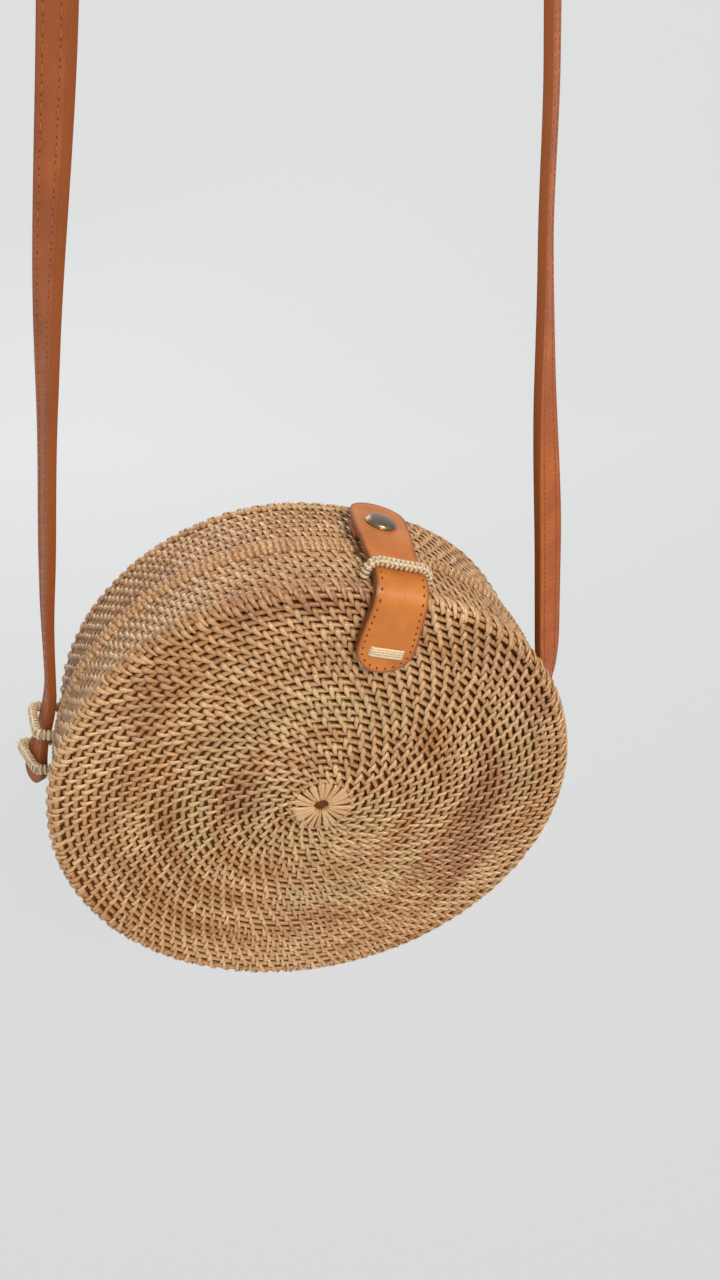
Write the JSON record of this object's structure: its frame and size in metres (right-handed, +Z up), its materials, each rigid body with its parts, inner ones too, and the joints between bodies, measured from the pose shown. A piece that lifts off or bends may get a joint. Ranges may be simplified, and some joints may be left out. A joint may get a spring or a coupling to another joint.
{
  "type": "round woven shoulder bag",
  "caption": "Round woven shoulder bag: two hinged dish halves, a leather tab closed by a press stud at the top, and a long leather strap held by rattan loops at the sides.",
  "frame": {"origin": "the point that the bag hangs from: the middle of the strap's underside at the top of its loop", "axes": "+Z is up against gravity, the round front face looks along -Y, and +X is to the right of someone who faces the front"},
  "size_m": [0.2149, 0.075, 0.6732],
  "materials": {
    "ata_weave": "coiled and wrapped golden brown vine strands, dry and slightly shiny",
    "pale_rattan": "pale split rattan wrapped round a core",
    "tan_leather": "smooth tan leather with darker edges and stitching",
    "antique_brass": "aged brass, half polished",
    "cotton_lining": "plain woven cotton"
  },
  "bodies": {
    "strap": {"shoulder_strap": "tan_leather"},
    "back_half": {"back_shell": "ata_weave", "back_rim_coil": "ata_weave", "back_mouth_coil": "ata_weave", "back_lining": "cotton_lining", "hinge_loop_left": "pale_rattan", "hinge_loop_right": "pale_rattan", "strap_end_left": "tan_leather", "strap_end_right": "tan_leather", "side_loop_left_upper": "pale_rattan", "side_loop_left_lower": "pale_rattan", "side_loop_right_upper": "pale_rattan", "side_loop_right_lower": "pale_rattan", "stud_patch": "tan_leather", "stud_patch_staple": "pale_rattan", "stud_rivet": "antique_brass", "snap_stud": "antique_brass"},
    "front_half": {"front_shell": "ata_weave", "front_rim_coil": "ata_weave", "front_mouth_coil": "ata_weave", "front_lining": "cotton_lining", "front_tab_backing": "tan_leather", "front_tab": "tan_leather", "front_tab_staple": "pale_rattan", "front_tab_loop": "pale_rattan"},
    "flap": {"snap_flap": "tan_leather", "snap_cap": "antique_brass", "snap_post": "antique_brass", "snap_socket": "antique_brass"}
  },
  "joints": [
    {"name": "strap_swing", "type": "hinge", "parent": "strap", "child": "back_half", "pos_m": [0, 0, -0.52434], "axis": [1, 0, 0], "range_deg": [-40, 40]},
    {"name": "lid_hinge", "type": "hinge", "parent": "back_half", "child": "front_half", "pos_m": [-0.02596, -0.0125, -0.65988], "axis": [0.9659, 0, -0.2588], "range_deg": [0, 110]},
    {"name": "flap_lift", "type": "hinge", "parent": "front_half", "child": "flap", "pos_m": [0.02676, -0.028, -0.46312], "axis": [0.9659, 0, -0.2588], "range_deg": [0, 80]}
  ]
}
